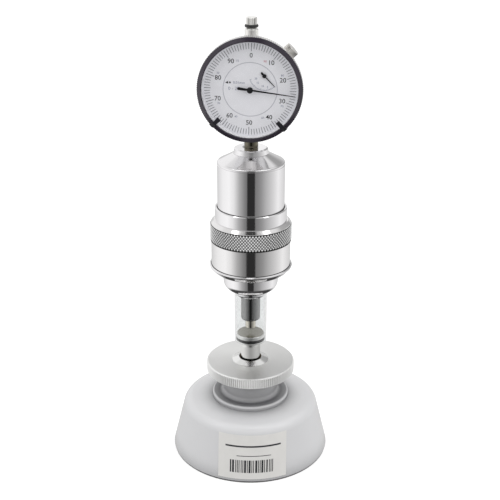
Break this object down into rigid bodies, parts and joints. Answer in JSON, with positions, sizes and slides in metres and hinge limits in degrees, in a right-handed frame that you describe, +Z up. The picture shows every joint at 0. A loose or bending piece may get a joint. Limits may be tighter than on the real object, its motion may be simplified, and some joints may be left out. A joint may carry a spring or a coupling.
{
  "type": "grain hardness tester",
  "caption": "Bench-top pointer-type hardness tester for grain: conical base, fluted handwheel raising a sample platform, clear guard tube, chrome force barrel and a dial indicator on top.",
  "frame": {"origin": "middle of the foot, on the ground, under the post's axis", "axes": "+Z up along the post and the barrel, -Y to the front where the dial faces, +X to the viewer's right"},
  "size_m": [0.097, 0.097, 0.2686],
  "materials": {
    "base_paint": "satin enamel, light warm grey",
    "foot_rubber": "matt",
    "zinc_steel": "satin",
    "hidden_brass": "machined",
    "wheel_chrome": "turned and polished",
    "post_steel": "ground",
    "platform_steel": "turned",
    "seal_rubber": "satin",
    "clear_tube": "polished, clear",
    "chrome": "polished",
    "grip_chrome": "satin, knurled",
    "rod_steel": "ground and polished",
    "tip_steel": "ground",
    "spring_steel": "oiled",
    "case_satin": "satin",
    "bezel_black": "gloss, purple-black",
    "dial_white": "matt print",
    "crystal": "polished, clear",
    "hand_black": "satin",
    "marker_black": "satin",
    "knob_metal": "knurled",
    "stop_black": "matt",
    "cap_metal": "polished",
    "case_screw_steel": "bright",
    "movement_brass": "satin",
    "arbor_steel": "polished"
  },
  "bodies": {
    "stand": {"base_shell": "base_paint", "housing": "base_paint", "housing_screws": "zinc_steel", "base_plate": "zinc_steel", "foot_pad": "foot_rubber", "base_plate_screws": "zinc_steel", "guide_bush": "hidden_brass", "guide_key": "zinc_steel", "thrust_washer": "hidden_brass", "retaining_ring": "spring_steel"},
    "wheel": {"handwheel": "wheel_chrome", "lead_nut": "hidden_brass", "nut_screws": "zinc_steel"},
    "lift": {"post": "post_steel", "platform": "platform_steel", "sealing_ring": "seal_rubber"},
    "head": {"guard_tube": "clear_tube", "nose_cap": "chrome", "rod_bush": "hidden_brass", "grip_sleeve": "grip_chrome", "lock_collar": "chrome", "barrel": "chrome", "barrel_cap": "chrome", "clamp_nut": "chrome", "load_spring": "spring_steel", "spring_adjuster": "zinc_steel", "dial_case": "case_satin", "rear_cover": "case_satin", "rear_cover_screws": "case_screw_steel", "dial_stem": "cap_metal", "top_bushing": "cap_metal", "front_plate": "movement_brass", "bridge_plate": "movement_brass", "back_plate": "movement_brass", "plate_pillars": "movement_brass", "inner_dial": "dial_white", "hairspring": "spring_steel"},
    "press": {"press_rod": "rod_steel", "press_tip": "tip_steel", "spring_seat": "zinc_steel"},
    "plunger": {"spindle": "post_steel", "contact_point": "tip_steel", "stop_ring": "stop_black", "lifting_cap": "cap_metal"},
    "first_arbor": {"first_wheel": "movement_brass"},
    "centre_arbor": {"centre_pinion": "arbor_steel", "main_hand": "hand_black"},
    "counter_arbor": {"counter_gear": "movement_brass", "small_hand": "hand_black"},
    "takeup_arbor": {"takeup_wheel": "movement_brass"},
    "bezel": {"bezel_ring": "bezel_black", "outer_dial": "dial_white", "dial_spacer": "dial_white", "crystal": "crystal"},
    "marker_right": {"limit_marker_right": "marker_black"},
    "marker_left": {"limit_marker_left": "marker_black"},
    "bezel_lock": {"lock_knob": "knob_metal"}
  },
  "joints": [
    {"name": "handwheel_turn", "type": "hinge", "parent": "stand", "child": "wheel", "pos_m": [0, 0, 0.0553], "axis": [0, 0, 1], "range_deg": [-1440, 1440]},
    {"name": "post_rise", "type": "slide", "parent": "stand", "child": "lift", "axis": [0, 0, 1], "range_m": [-0.006, 0.006]},
    {"name": "head_lift", "type": "slide", "parent": "lift", "child": "head", "axis": [0, 0, 1], "range_m": [-0.0034, 0.04]},
    {"name": "rod_press", "type": "slide", "parent": "head", "child": "press", "axis": [0, 0, 1], "range_m": [0, 0.004], "stiffness_N_per_m": 2000, "springref_m": -0.01, "deforming": ["load_spring"]},
    {"name": "spindle_rise", "type": "slide", "parent": "head", "child": "plunger", "axis": [0, 0, 1], "range_m": [0, 0.004]},
    {"name": "first_arbor_turn", "type": "hinge", "parent": "head", "child": "first_arbor", "pos_m": [-0.00279, 0, 0.24175], "axis": [0, 1, 0], "range_deg": [-145, 0]},
    {"name": "hand_turn", "type": "hinge", "parent": "head", "child": "centre_arbor", "pos_m": [0, 0, 0.23111], "axis": [0, 1, 0], "range_deg": [0, 1441]},
    {"name": "small_hand_turn", "type": "hinge", "parent": "head", "child": "counter_arbor", "pos_m": [0.00778, 0, 0.23889], "axis": [0, 1, 0], "range_deg": [0, 145]},
    {"name": "takeup_turn", "type": "hinge", "parent": "head", "child": "takeup_arbor", "pos_m": [0.00778, 0, 0.22333], "axis": [0, 1, 0], "range_deg": [-145, 0]},
    {"name": "bezel_turn", "type": "hinge", "parent": "head", "child": "bezel", "pos_m": [0, -0.0125, 0.23111], "axis": [0, 1, 0], "continuous": true},
    {"name": "right_marker_turn", "type": "hinge", "parent": "bezel", "child": "marker_right", "pos_m": [0, -0.0125, 0.23111], "axis": [0, 1, 0], "range_deg": [-35, 35]},
    {"name": "left_marker_turn", "type": "hinge", "parent": "bezel", "child": "marker_left", "pos_m": [0, -0.0125, 0.23111], "axis": [0, 1, 0], "range_deg": [-35, 35]},
    {"name": "lock_turn", "type": "hinge", "parent": "head", "child": "bezel_lock", "pos_m": [0, -0.0044, 0.23111], "axis": [0.7314, 0, 0.682], "range_deg": [0, 180]}
  ],
  "couplings": [
    {"joint": "post_rise", "follows": "handwheel_turn", "m_per_rad": -0.00023873},
    {"joint": "spindle_rise", "follows": "rod_press", "ratio": 1},
    {"joint": "first_arbor_turn", "follows": "rod_press", "rad_per_m": -628.32},
    {"joint": "hand_turn", "follows": "rod_press", "rad_per_m": 6283.2},
    {"joint": "small_hand_turn", "follows": "rod_press", "rad_per_m": 628.32},
    {"joint": "takeup_turn", "follows": "rod_press", "rad_per_m": -628.32}
  ]
}
